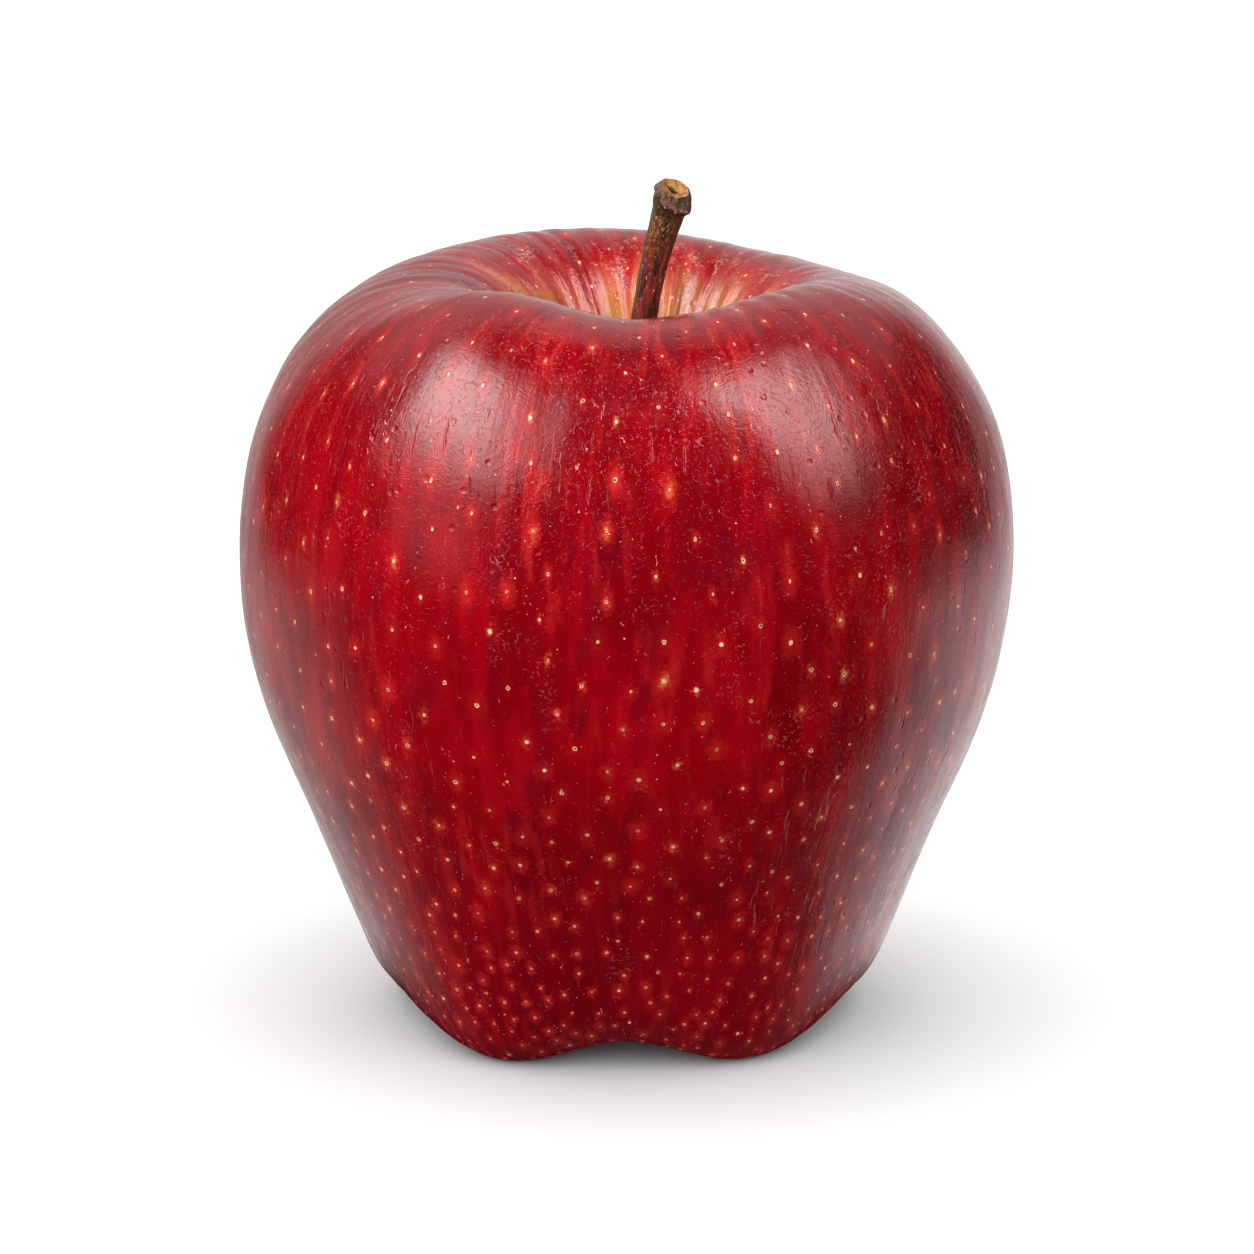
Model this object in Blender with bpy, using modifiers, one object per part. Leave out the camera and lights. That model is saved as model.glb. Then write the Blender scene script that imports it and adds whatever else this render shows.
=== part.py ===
"""A red apple of the tapered, five-lobed kind, standing on its feet.

The fruit is one solid with a stem cavity above and a calyx basin below. The woody
stem stands in a shallow socket on the cavity's floor. Five dried sepals and a tuft
of dried stamens hang in the basin. Metres, +Z up, the table at Z = 0, the core's
axis on Z, and the side that faces a viewer at -Y.
"""

import math

import bmesh
import bpy
import numpy as np
from mathutils import Vector

MM = 0.001
TAU = 2.0 * math.pi

# Fruit. Its profile runs from the floor of the stem cavity over the shoulder, down
# the flank, round the foot and up into the calyx basin: distance from the core's
# axis and height, in millimetres, as the control points of a smooth curve.
PROFILE = [
    (0.0, 60.7), (3.7, 59.8), (7.0, 63.5), (10.2, 69.9), (14.6, 75.6),
    (20.8, 78.1), (29.1, 75.6), (35.9, 68.2), (39.9, 57.3), (40.2, 45.1),
    (37.8, 32.9), (32.2, 21.8), (27.4, 10.6), (24.0, 3.0), (18.2, 1.1),
    (12.2, 4.3), (7.8, 8.4), (3.9, 10.2), (0.0, 9.7),
]
COLUMNS = 40  # faces round the fruit before it is subdivided
LEVELS = 1

# Ten control values round the fruit, the first in front and then turning to +X.
SHOULDER_LIFT_MM = (-2.7, 0.7, 0.6, -1.6, -0.5, 1.5, 1.2, 0.5, -1.6, 1.9)
FLANK_SWELL_MM = (-0.1, -0.2, -1.1, 0.6, -0.8, 0.7, 0.1, -0.3, -0.5, 1.6)
# Five feet, the first at FIRST_FOOT_DEG from the front towards +X.
FIRST_FOOT_DEG = 36.0
FOOT_REACH_MM = (1.4, 1.1, 2.2, 2.6, 1.8)
FOOT_DROP_MM = 2.5
CAVITY_SHIFT_MM = 1.5  # the stem cavity lies this far to the side of the core

# Where along the profile each of these grows from nothing and fades again, counted
# in control points: start, full, start of fading, gone.
SHOULDER_SPAN = (1.5, 5.0, 6.0, 10.0)
FLANK_SPAN = (3.0, 8.0, 11.0, 14.0)
REACH_SPAN = (8.0, 13.5, 14.5, 17.5)
DROP_SPAN = (10.0, 14.0, 14.5, 17.5)
CAVITY_SPAN = (3.0, 7.0)
FULL_REACH_RADIUS_MM = 20.0  # inside this radius a foot's reach shrinks with it

# Stem, as a bent line from its foot to its cut end.
STEM_FOOT_MM = (1.5, 0.0, 59.5)
STEM_BEND_MM = (0.3, 0.0, 73.0)
STEM_TOP_MM = (5.0, -0.8, 86.0)
STEM_RADII_MM = (1.35, 1.25, 1.3, 1.4, 1.6, 1.95, 1.85)  # evenly spaced, foot to top
STEM_STATIONS = 19
CLEARANCE_MM = 0.3  # kept between pieces that touch
SOCKET_FLOOR_MM = STEM_FOOT_MM[2] - CLEARANCE_MM
SOCKET_DEPTH_MM = 4.0  # from its floor to above the cavity's floor

# Calyx.
SEPALS = 5
SEPAL_LENGTH_MM = 7.0
SEPAL_WIDTH_MM = 3.4
SEPAL_THICKNESS_MM = 0.5
SEPAL_ROOT_RADIUS_MM = 3.3
SEPAL_ROOT_HEIGHT_MM = 9.1
SEPAL_SPLAY_DEG = 50.0  # how far a sepal leans out from straight down at its root
SEPAL_CURL_DEG = 95.0  # how far it curls back in by its tip
TUFT_PROFILE_MM = [(0.0, 5.4), (0.8, 5.7), (1.2, 7.2), (1.6, 8.8), (1.2, 9.3), (0.0, 9.4)]


def clear_scene():
    for obj in list(bpy.data.objects):
        bpy.data.objects.remove(obj, do_unlink=True)


def collection(name, hidden=False):
    made = bpy.data.collections.new(name)
    made.hide_render = hidden
    bpy.context.scene.collection.children.link(made)
    return made


def material(name, color, roughness, metallic=0.0):
    made = bpy.data.materials.new(name)
    made.use_nodes = True
    shader = made.node_tree.nodes["Principled BSDF"]
    shader.inputs["Base Color"].default_value = (*color, 1.0)
    shader.inputs["Roughness"].default_value = roughness
    shader.inputs["Metallic"].default_value = metallic
    return made


def add_object(name, data, group, finish=None):
    obj = bpy.data.objects.new(name, data)
    group.objects.link(obj)
    if finish:
        data.materials.append(finish)
    return obj


def subdivide(obj, levels):
    modifier = obj.modifiers.new("Subdivision", "SUBSURF")
    modifier.levels = levels
    modifier.render_levels = levels


def cut(obj, cutter):
    cutter.hide_render = True
    cutter.display_type = "WIRE"
    modifier = obj.modifiers.new("Cut " + cutter.name, "BOOLEAN")
    modifier.operation = "DIFFERENCE"
    modifier.solver = "EXACT"
    modifier.object = cutter


def ramp(start, end, x):
    """0 up to start, 1 from end on, smooth between."""
    t = np.clip((x - start) / (end - start), 0.0, 1.0)
    return t * t * (3.0 - 2.0 * t)


def span(limits, x):
    start, full, fade, gone = limits
    return ramp(start, full, x) * (1.0 - ramp(fade, gone, x))


def around(values, turn):
    """A closed cubic spline of evenly spaced control values, at angles in radians."""
    count = len(values)
    values = np.asarray(values)
    x = (turn % TAU) / TAU * count
    first = np.floor(x).astype(int)
    f = x - first
    weights = (
        (1.0 - f) ** 3,
        3.0 * f**3 - 6.0 * f**2 + 4.0,
        -3.0 * f**3 + 3.0 * f**2 + 3.0 * f + 1.0,
        f**3,
    )
    return sum(w * values[(first + k - 1) % count] for k, w in enumerate(weights)) / 6.0


def foot_lobes(heights, turn):
    """Five rounded lobes a fifth of a turn wide, each with its own height."""
    total = np.zeros_like(turn)
    for k, height in enumerate(heights):
        away = turn - math.radians(FIRST_FOOT_DEG) - k * TAU / 5.0
        away = (away + math.pi) % TAU - math.pi
        lobe = 0.5 + 0.5 * np.cos(5.0 * away)
        total += np.where(np.abs(away) < math.pi / 5.0, height * lobe, 0.0)
    return total


def fruit_cage(turn, station):
    """Places of the cage's points, in metres, for turns round the core and control points."""
    control = np.array(PROFILE)
    radius = control[station, 0]
    height = control[station, 1]
    reach = foot_lobes(FOOT_REACH_MM, turn) * np.minimum(radius / FULL_REACH_RADIUS_MM, 1.0)
    drop = foot_lobes((FOOT_DROP_MM,) * 5, turn)
    wide = (
        radius
        + reach * span(REACH_SPAN, station)
        + around(FLANK_SWELL_MM, turn) * span(FLANK_SPAN, station)
    )
    high = (
        height
        - drop * span(DROP_SPAN, station)
        + around(SHOULDER_LIFT_MM, turn) * span(SHOULDER_SPAN, station)
    )
    wide = np.where(radius > 0.0, wide, 0.0)
    aside = CAVITY_SHIFT_MM * (1.0 - ramp(*CAVITY_SPAN, station))
    return np.stack([wide * np.sin(turn) + aside, -wide * np.cos(turn), high], axis=1) * MM


def make_fruit(group, cutters):
    """A sphere whose rings are laid on the profile's control points, then subdivided."""
    rings = len(PROFILE) - 1
    bm = bmesh.new()
    bmesh.ops.create_uvsphere(bm, u_segments=COLUMNS, v_segments=rings, radius=1.0)
    places = np.array([v.co for v in bm.verts], dtype=float)
    station = np.rint(np.arccos(np.clip(places[:, 2], -1.0, 1.0)) / math.pi * rings).astype(int)
    turn = np.arctan2(places[:, 0], -places[:, 1])
    for vertex, place in zip(bm.verts, fruit_cage(turn, station)):
        vertex.co = place
    bmesh.ops.recalc_face_normals(bm, faces=bm.faces)
    mesh = bpy.data.meshes.new("fruit")
    bm.to_mesh(mesh)
    bm.free()
    mesh.shade_smooth()
    fruit = add_object("fruit", mesh, group, material("apple_skin", (0.33, 0.006, 0.015), 0.3))
    subdivide(fruit, LEVELS)
    cut(fruit, floor_cutter(cutters))
    cut(fruit, socket_cutter(cutters))
    return fruit


def floor_cutter(group):
    """A slab under the table's plane: it leaves a small flat spot on each foot."""
    side = 3.0 * PROFILE[9][0] * MM
    thickness = 0.01
    bm = bmesh.new()
    bmesh.ops.create_cube(bm, size=1.0)
    bmesh.ops.scale(bm, vec=(side, side, thickness), verts=bm.verts)
    mesh = bpy.data.meshes.new("floor_cutter")
    bm.to_mesh(mesh)
    bm.free()
    cutter = add_object("floor_cutter", mesh, group)
    cutter.location.z = -thickness / 2.0
    return cutter


def socket_cutter(group):
    """A short upright cylinder: the socket that the stem's foot stands in."""
    radius = (STEM_RADII_MM[0] + CLEARANCE_MM) * MM
    bm = bmesh.new()
    bmesh.ops.create_cone(
        bm,
        cap_ends=True,
        segments=24,
        radius1=radius,
        radius2=radius,
        depth=SOCKET_DEPTH_MM * MM,
    )
    mesh = bpy.data.meshes.new("socket_cutter")
    bm.to_mesh(mesh)
    bm.free()
    cutter = add_object("socket_cutter", mesh, group)
    middle = SOCKET_FLOOR_MM + SOCKET_DEPTH_MM / 2.0
    cutter.location = Vector((STEM_FOOT_MM[0], STEM_FOOT_MM[1], middle)) * MM
    return cutter


def make_stem(group):
    """A round tube along the stem's bent line, thicker towards its cut end."""
    foot, bend, top = (Vector(p) * MM for p in (STEM_FOOT_MM, STEM_BEND_MM, STEM_TOP_MM))
    curve = bpy.data.curves.new("stem", "CURVE")
    curve.dimensions = "3D"
    curve.bevel_depth = MM
    curve.bevel_resolution = 4
    curve.use_fill_caps = True
    spline = curve.splines.new("POLY")
    spline.points.add(STEM_STATIONS - 1)
    spline.use_smooth = True
    knots = np.linspace(0.0, 1.0, len(STEM_RADII_MM))
    for k, point in enumerate(spline.points):
        t = k / (STEM_STATIONS - 1)
        place = foot * (1.0 - t) ** 2 + bend * 2.0 * t * (1.0 - t) + top * t**2
        point.co = (*place, 1.0)
        point.radius = float(np.interp(t, knots, STEM_RADII_MM))
    return add_object("stem", curve, group, material("stem_wood", (0.09, 0.03, 0.014), 0.7))


def make_sepals(group):
    """One dried leaf, cut to a point and curled, copied five times round the basin."""
    across, along = 2, 6
    bm = bmesh.new()
    bmesh.ops.create_grid(bm, x_segments=across, y_segments=along, size=0.5)
    for vertex in bm.verts:
        side = vertex.co.x * 2.0
        t = vertex.co.y + 0.5
        width = SEPAL_WIDTH_MM * (1.0 - 0.82 * t**1.4)
        lean = math.radians(SEPAL_SPLAY_DEG - SEPAL_CURL_DEG * t)
        start = math.radians(SEPAL_SPLAY_DEG)
        turned = (start - lean) or 1e-6
        bow = SEPAL_LENGTH_MM * t / turned
        out = SEPAL_ROOT_RADIUS_MM + bow * (math.cos(lean) - math.cos(start))
        down = bow * (math.sin(start) - math.sin(lean))
        trough = 0.25 * side**2
        vertex.co = Vector((side * width / 2.0, -out + trough, SEPAL_ROOT_HEIGHT_MM - down)) * MM
    mesh = bpy.data.meshes.new("sepal")
    bm.to_mesh(mesh)
    bm.free()
    mesh.shade_smooth()
    finish = material("dried_calyx", (0.10, 0.045, 0.02), 0.85)
    mesh.materials.append(finish)
    for k in range(SEPALS):
        sepal = add_object(f"sepal_{k + 1}", mesh, group)
        sepal.rotation_euler.z = math.radians(FIRST_FOOT_DEG) + k * TAU / SEPALS
        wall = sepal.modifiers.new("Thickness", "SOLIDIFY")
        wall.thickness = SEPAL_THICKNESS_MM * MM
        wall.offset = 0.0
        subdivide(sepal, 1)


def make_tuft(group):
    """The bundle of dried stamens, as one turned piece in the middle of the calyx."""
    mesh = bpy.data.meshes.new("stamen_tuft")
    points = [(radius * MM, 0.0, height * MM) for radius, height in reversed(TUFT_PROFILE_MM)]
    edges = [(k, k + 1) for k in range(len(points) - 1)]
    mesh.from_pydata(points, edges, [])
    tuft = add_object("stamen_tuft", mesh, group, material("dried_stamens", (0.06, 0.03, 0.015), 0.9))
    screw = tuft.modifiers.new("Turn", "SCREW")
    screw.steps = 16
    screw.render_steps = 16
    screw.use_merge_vertices = True
    screw.merge_threshold = 0.00001
    screw.use_smooth_shade = True


def main():
    clear_scene()
    apple = collection("red_apple")
    cutters = collection("cutters", hidden=True)
    make_fruit(apple, cutters)
    make_stem(apple)
    make_sepals(apple)
    make_tuft(apple)


main()
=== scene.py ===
import math

import bmesh
import bpy
import numpy as np
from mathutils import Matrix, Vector, kdtree, noise


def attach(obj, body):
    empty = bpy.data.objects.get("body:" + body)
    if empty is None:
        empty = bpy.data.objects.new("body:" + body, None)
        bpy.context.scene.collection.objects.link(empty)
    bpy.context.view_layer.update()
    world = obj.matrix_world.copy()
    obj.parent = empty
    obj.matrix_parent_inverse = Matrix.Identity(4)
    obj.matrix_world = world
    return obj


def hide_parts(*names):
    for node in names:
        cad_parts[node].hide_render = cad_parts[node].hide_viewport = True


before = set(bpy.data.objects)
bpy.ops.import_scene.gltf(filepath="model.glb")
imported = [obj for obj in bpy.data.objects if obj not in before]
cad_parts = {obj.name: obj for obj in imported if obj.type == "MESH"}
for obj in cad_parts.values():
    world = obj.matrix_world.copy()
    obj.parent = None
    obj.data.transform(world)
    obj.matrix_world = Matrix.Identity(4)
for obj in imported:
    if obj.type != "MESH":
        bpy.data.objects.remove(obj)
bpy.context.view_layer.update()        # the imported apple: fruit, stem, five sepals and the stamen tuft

mm = 0.001
tau = 2.0 * math.pi


# ---- small helpers ----

def deselectAll():
    if bpy.context.mode != "OBJECT":
        bpy.ops.object.mode_set(mode="OBJECT")
    bpy.ops.object.select_all(action="DESELECT")


def pickOnly(piece):
    deselectAll()
    piece.select_set(True)
    bpy.context.view_layer.objects.active = piece


def applyModifier(piece, kind, **settings):
    pickOnly(piece)
    modifier = piece.modifiers.new(kind.title(), kind)
    for name, value in settings.items():
        setattr(modifier, name, value)
    bpy.ops.object.modifier_apply(modifier=modifier.name)


def smoothShade(piece, angle=None):
    pickOnly(piece)
    bpy.ops.object.shade_smooth()
    if angle:
        bpy.ops.object.shade_smooth_by_angle(angle=math.radians(angle))


def selectFaces(piece, wanted):
    # edit mode, with only the faces selected that wanted(face) says
    pickOnly(piece)
    bpy.ops.object.mode_set(mode="EDIT")
    bpy.ops.mesh.select_mode(type="FACE")
    bpy.ops.mesh.select_all(action="DESELECT")
    work = bmesh.from_edit_mesh(piece.data)
    for face in work.faces:
        face.select_set(wanted(face))
    bmesh.update_edit_mesh(piece.data)


def vertexPlaces(piece):
    places = np.empty(len(piece.data.vertices) * 3)
    piece.data.vertices.foreach_get("co", places)
    return places.reshape(-1, 3)


def putVertices(piece, places):
    piece.data.vertices.foreach_set("co", np.asarray(places, dtype=np.float32).ravel())
    piece.data.update()


def storeValues(piece, name, values, domain="POINT"):
    values = np.asarray(values, dtype=np.float32)
    kind, slot = ("FLOAT", "value") if values.ndim == 1 else ("FLOAT_VECTOR", "vector")
    layer = piece.data.attributes.new(name, kind, domain)
    layer.data.foreach_set(slot, values.ravel())


def ramp(start, end, x):
    # 0 up to start, 1 from end on, smooth between
    t = np.clip((x - start) / (end - start), 0.0, 1.0)
    return t * t * (3.0 - 2.0 * t)


def span(limits, x):
    start, full, fade, gone = limits
    return ramp(start, full, x) * (1.0 - ramp(fade, gone, x))


def splineAt(control, first, f):
    # cubic spline of control values: the piece that starts at control number first
    weights = (
        (1.0 - f) ** 3,
        3.0 * f**3 - 6.0 * f**2 + 4.0,
        -3.0 * f**3 + 3.0 * f**2 + 3.0 * f + 1.0,
        f**3,
    )
    return sum(w * control(first + k) for k, w in enumerate(weights)) / 6.0


def alongSpline(values, place):
    # values at stations 0, 1, 2 ..., with the ends carried on straight
    values = np.asarray(values, dtype=float)
    values = np.concatenate([[2 * values[0] - values[1]], values, [2 * values[-1] - values[-2]]])
    place = np.clip(place, 0.0, len(values) - 3 - 1e-9)
    first = np.floor(place).astype(int)
    return splineAt(lambda k: values[k], first, place - first)


def aroundSpline(values, turn):
    # evenly spaced values round a full turn
    values = np.asarray(values, dtype=float)
    x = (turn % tau) / tau * len(values)
    first = np.floor(x).astype(int)
    return splineAt(lambda k: values[(k - 1) % len(values)], first, x - first)


def noiseOf(points, seed=0.0):
    shift = Vector((seed * 3.1, seed * 7.7, seed * 5.3))
    return np.array([noise.noise(Vector(p) + shift) for p in points])


# ---- node helpers ----

class Nodes:
    # short ways to add the nodes that the finishes and the world share
    def __init__(self, owner):
        owner.use_nodes = True
        self.owner = owner
        self.tree = owner.node_tree

    @classmethod
    def material(cls, name):
        return cls(bpy.data.materials.new(name))

    def add(self, kind, sockets=None, **settings):
        made = self.tree.nodes.new("ShaderNode" + kind)
        for name, value in settings.items():
            setattr(made, name, value)
        for name, value in (sockets or {}).items():
            self.feed(made.inputs[name], value)
        return made

    def feed(self, socket, value):
        if isinstance(value, bpy.types.NodeSocket):
            self.tree.links.new(value, socket)
        elif socket.type == "RGBA" and len(value) == 3:
            socket.default_value = (*value, 1.0)
        else:
            socket.default_value = value

    def calc(self, operation, a, b=0.0, c=0.0, clamp=False):
        made = self.add("Math", {0: a, 1: b, 2: c}, operation=operation, use_clamp=clamp)
        return made.outputs[0]

    def vector(self, operation, a, b=(0.0, 0.0, 0.0), scale=None):
        made = self.add("VectorMath", {0: a, 1: b}, operation=operation)
        if scale is not None:
            self.feed(made.inputs["Scale"], scale)
        return made.outputs["Value" if operation in ("LENGTH", "DISTANCE", "DOT_PRODUCT") else "Vector"]

    def attribute(self, name, output="Vector"):
        return self.add("Attribute", attribute_name=name).outputs[output]

    def objectMm(self):
        place = self.add("TexCoord").outputs["Object"]
        return self.vector("SCALE", place, scale=1000.0)

    def noise(self, place, size, detail=3.0, rough=0.5, distort=0.0):
        # size is that of one blotch, in the unit of place
        return self.add("TexNoise", {
            "Vector": place, "Scale": 1.0 / size, "Detail": detail,
            "Roughness": rough, "Distortion": distort,
        }).outputs["Fac"]

    def shift(self, place, by):
        return self.vector("ADD", place, by)

    def ease(self, value, start, end, low=0.0, high=1.0):
        return self.add("MapRange", {
            "Value": value, "From Min": start, "From Max": end, "To Min": low, "To Max": high,
        }, interpolation_type="SMOOTHSTEP").outputs["Result"]

    def mix(self, amount, a, b, blend="MIX"):
        made = self.tree.nodes.new("ShaderNodeMix")
        made.data_type = "RGBA"
        made.blend_type = blend
        self.feed(made.inputs[0], amount)
        self.feed(made.inputs[6], a)
        self.feed(made.inputs[7], b)
        return made.outputs[2]

    def mixValue(self, amount, a, b):
        return self.calc("MULTIPLY_ADD", amount, self.calc("SUBTRACT", b, a), a)

    def bump(self, heightMm):
        made = self.add("Bump", {"Strength": 1.0, "Distance": mm, "Height": heightMm})
        return made.outputs["Normal"]

    def finish(self, **sockets):
        for name, value in sockets.items():
            self.feed(self.tree.nodes["Principled BSDF"].inputs[name.replace("_", " ")], value)
        return self.owner


# ---- fruit ----

fruitForm = {
    # distance from the core and height in millimetres, from the floor of the stem
    # cavity over the shoulder, down the flank and up into the calyx basin
    "profile": [
        (0.0, 60.7), (3.7, 59.8), (7.0, 63.5), (10.2, 69.9), (14.6, 75.6),
        (20.8, 78.1), (29.1, 75.6), (35.9, 68.2), (39.9, 57.3), (40.2, 45.1),
        (37.8, 32.9), (32.2, 21.8), (27.4, 10.6), (24.0, 3.0), (18.2, 1.1),
        (12.2, 4.3), (7.8, 8.4), (3.9, 10.2), (0.0, 9.7),
    ],
    "shoulderLift": (-2.7, 0.7, 0.6, -1.6, -0.5, 1.5, 1.2, 0.5, -1.6, 1.9),
    "flankSwell": (-0.1, -0.2, -1.1, 0.6, -0.8, 0.7, 0.1, -0.3, -0.5, 1.6),
    "firstFoot": 36.0,      # degrees from the front towards +X
    "footReach": (1.4, 1.1, 2.2, 2.3, 1.8),
    "saddleReach": (0.0, 1.0, 0.0, 0.0, 1.0),    # between two feet: fuller at the sides
    "footDrop": 2.5,
    "cavityShift": 1.5,
    "shoulderSpan": (1.5, 5.0, 6.0, 10.0),   # counted in profile points
    "flankSpan": (3.0, 8.0, 11.0, 14.0),
    "reachSpan": (8.0, 13.5, 14.5, 17.5),
    "dropSpan": (10.0, 14.0, 14.5, 17.5),
    "cavitySpan": (3.0, 7.0),
    "fullReachRadius": 20.0,
    "segments": 320,
    "rings": 280,
}

skinRelief = {
    # wave length and height in millimetres
    "swell": (13.0, 0.30),
    "lumps": (4.5, 0.05),
    "ribs": (3.0, 0.045),    # run from stem to base
    "rimRibs": 2.2,          # how much stronger they are on the rim of the cavity
}


def profileAt(station):
    points = np.array(fruitForm["profile"])
    mirror = np.array([-1.0, 1.0])
    points = np.concatenate([[points[1] * mirror], points, [points[-2] * mirror]])
    station = np.clip(station, 0.0, len(points) - 3 - 1e-9)
    first = np.floor(station).astype(int)
    return splineAt(lambda k: points[k], first, (station - first)[:, None])


def footLobes(heights, turn):
    total = np.zeros_like(turn)
    for k, height in enumerate(heights):
        away = turn - math.radians(fruitForm["firstFoot"]) - k * tau / 5.0
        away = (away + math.pi) % tau - math.pi
        total += np.where(np.abs(away) < math.pi / 5.0, height * (0.5 + 0.5 * np.cos(5.0 * away)), 0.0)
    return total


def skinPoints(turn, station):
    # places on the fruit in millimetres
    form = fruitForm
    radius, height = profileAt(station).T
    reach = footLobes(form["footReach"], turn) + footLobes(form["saddleReach"], turn + math.pi / 5.0)
    reach = reach * np.minimum(radius / form["fullReachRadius"], 1.0)
    drop = footLobes((form["footDrop"],) * 5, turn)
    wide = radius + reach * span(form["reachSpan"], station)
    wide += aroundSpline(form["flankSwell"], turn) * span(form["flankSpan"], station)
    high = height - drop * span(form["dropSpan"], station)
    high += aroundSpline(form["shoulderLift"], turn) * span(form["shoulderSpan"], station)
    aside = form["cavityShift"] * (1.0 - ramp(*form["cavitySpan"], station))
    return np.stack([wide * np.sin(turn) + aside, -wide * np.cos(turn), high], axis=1)


def evenStations(count):
    # stations a steady step apart along the profile, and the distance to each
    fine = np.linspace(0.0, len(fruitForm["profile"]) - 1, 4000)
    steps = np.linalg.norm(np.diff(profileAt(fine), axis=0), axis=1)
    distance = np.concatenate([[0.0], np.cumsum(steps)])
    wanted = np.linspace(0.0, distance[-1], count)
    return np.interp(wanted, distance, fine), wanted


def makeFruit():
    rings = fruitForm["rings"]
    deselectAll()
    bpy.ops.mesh.primitive_uv_sphere_add(
        segments=fruitForm["segments"], ring_count=rings, radius=1.0, location=(0, 0, 0))
    fruit = bpy.context.active_object
    fruit.name = "appleSkin"
    ball = vertexPlaces(fruit)
    ring = np.rint(np.arccos(np.clip(ball[:, 2], -1.0, 1.0)) / math.pi * rings).astype(int)
    turn = np.arctan2(ball[:, 0], -ball[:, 1])
    stations, distances = evenStations(rings + 1)
    station, along = stations[ring], distances[ring]
    places = skinPoints(turn, station)

    # grain: a place that is stretched along the skin from stem to base
    grain = np.stack([40.0 * np.sin(turn), 40.0 * np.cos(turn), along], axis=1)
    putVertices(fruit, places * mm)
    normals = np.empty(len(places) * 3)
    fruit.data.vertices.foreach_get("normal", normals)
    normals = normals.reshape(-1, 3)
    calm = span((1.0, 3.0, 14.5, 16.5), station)
    size, height = skinRelief["swell"]
    push = height * noiseOf(places / size, 1.0)
    size, height = skinRelief["lumps"]
    push += height * noiseOf(places / size, 2.0)
    size, height = skinRelief["ribs"]
    onRim = 1.0 + skinRelief["rimRibs"] * span((1.0, 3.0, 4.5, 7.0), station)
    push += height * noiseOf(grain * (1, 1, 0.10) / size, 3.0) * onRim
    places = places + normals * (push * calm)[:, None]
    places[:, 2] = np.maximum(places[:, 2], 0.0)   # the small flat spots on the feet
    putVertices(fruit, places * mm)
    storeValues(fruit, "grain", grain)
    storeValues(fruit, "station", station)
    smoothShade(fruit)
    print("fruit:", len(fruit.data.polygons), "faces")
    return fruit


poreLook = {
    "seed": 11,
    # at profile points 0, 2, 4 ...: least distance between pores in millimetres
    "spacing": (2.2, 2.2, 2.7, 3.9, 4.5, 3.0, 1.7, 1.05, 1.0, 1.6),
    "size": (0.15, 0.16, 0.17, 0.20, 0.22, 0.19, 0.155, 0.13, 0.11, 0.11),
    "halo": (0.7, 0.8, 1.3, 1.9, 1.9, 1.5, 1.15, 0.85, 0.6, 0.4),
    "withPit": 0.55,         # share of the pores that show a dark pin hole
}


def scatterPores(fruit):
    # every face keeps the place of the pore nearest to it, so each pore is drawn round and sharp
    dice = np.random.default_rng(poreLook["seed"])
    faces = fruit.data.polygons
    centres = np.empty(len(faces) * 3)
    faces.foreach_get("center", centres)
    centres = centres.reshape(-1, 3) / mm
    areas = np.empty(len(faces))
    faces.foreach_get("area", areas)
    station = np.empty(len(fruit.data.vertices))
    fruit.data.attributes["station"].data.foreach_get("value", station)
    corner = np.array([face.vertices[0] for face in faces])
    zone = station[corner] / 2.0
    spacing = alongSpline(poreLook["spacing"], zone)
    chance = areas / areas.sum()
    order = dice.choice(len(faces), size=24000, replace=False, p=chance)
    kept = np.empty((len(order), 3))
    owners = []
    for face in order:
        gap = spacing[face] * dice.uniform(0.85, 1.5)
        near = kept[:len(owners)] - centres[face]
        if owners and (near * near).sum(axis=1).min() < gap * gap:
            continue
        kept[len(owners)] = centres[face]
        owners.append(face)
    tree = kdtree.KDTree(len(owners))
    for k in range(len(owners)):
        tree.insert(kept[k], k)
    tree.balance()
    nearest = np.array([tree.find(c)[1] for c in centres])
    owners = np.array(owners)
    size = alongSpline(poreLook["size"], zone[owners]) * dice.uniform(0.65, 1.25, len(owners))
    halo = alongSpline(poreLook["halo"], zone[owners]) * dice.uniform(0.5, 1.25, len(owners))
    glow = dice.uniform(0.0, 1.0, len(owners))
    spread = dice.uniform(0.0, 1.0, len(owners))
    pit = (dice.uniform(0.0, 1.0, len(owners)) < poreLook["withPit"]).astype(float)
    tint = dice.uniform(0.0, 1.0, len(owners))
    storeValues(fruit, "poreAt", kept[nearest], "FACE")
    storeValues(fruit, "poreForm", np.stack([size, halo, glow], axis=1)[nearest], "FACE")
    storeValues(fruit, "poreTint", np.stack([pit, tint, spread], axis=1)[nearest], "FACE")
    print("pores:", len(owners))


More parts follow.
